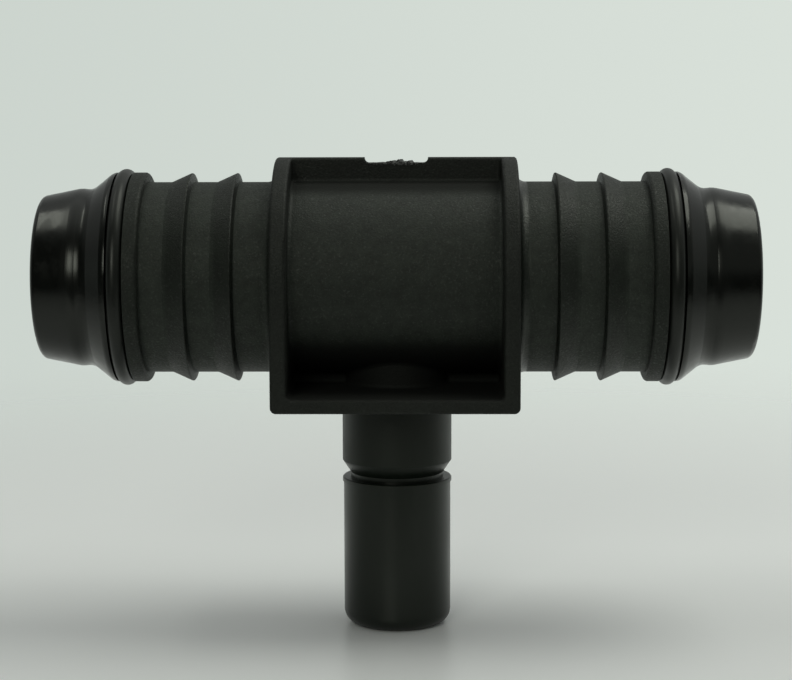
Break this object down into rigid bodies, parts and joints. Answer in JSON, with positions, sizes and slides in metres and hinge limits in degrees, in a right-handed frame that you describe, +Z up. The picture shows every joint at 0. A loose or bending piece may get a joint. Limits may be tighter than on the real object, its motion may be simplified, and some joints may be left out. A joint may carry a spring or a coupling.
{
  "type": "tee fitting",
  "caption": "Moulded plastic tee for coolant hose: a straight run with barbed hose ends and sealing rings, and a smooth push-in branch with a latch groove.",
  "frame": {"origin": "centre of the branch's end face, which the fitting stands on", "axes": "+X along the run, +Z up the branch towards the run, +Y through the housing from one pocket to the other"},
  "size_m": [0.0976, 0.033, 0.0652],
  "materials": {
    "glass_filled_nylon": "moulded, fine grained on the barbs and housing, polished on the tips, the sealing rims and the spigot",
    "seal_rubber": "smooth black seal rubber"
  },
  "bodies": {
    "root": {"tee_body": "glass_filled_nylon", "o_ring_left": "seal_rubber", "o_ring_right": "seal_rubber"}
  },
  "joints": []
}
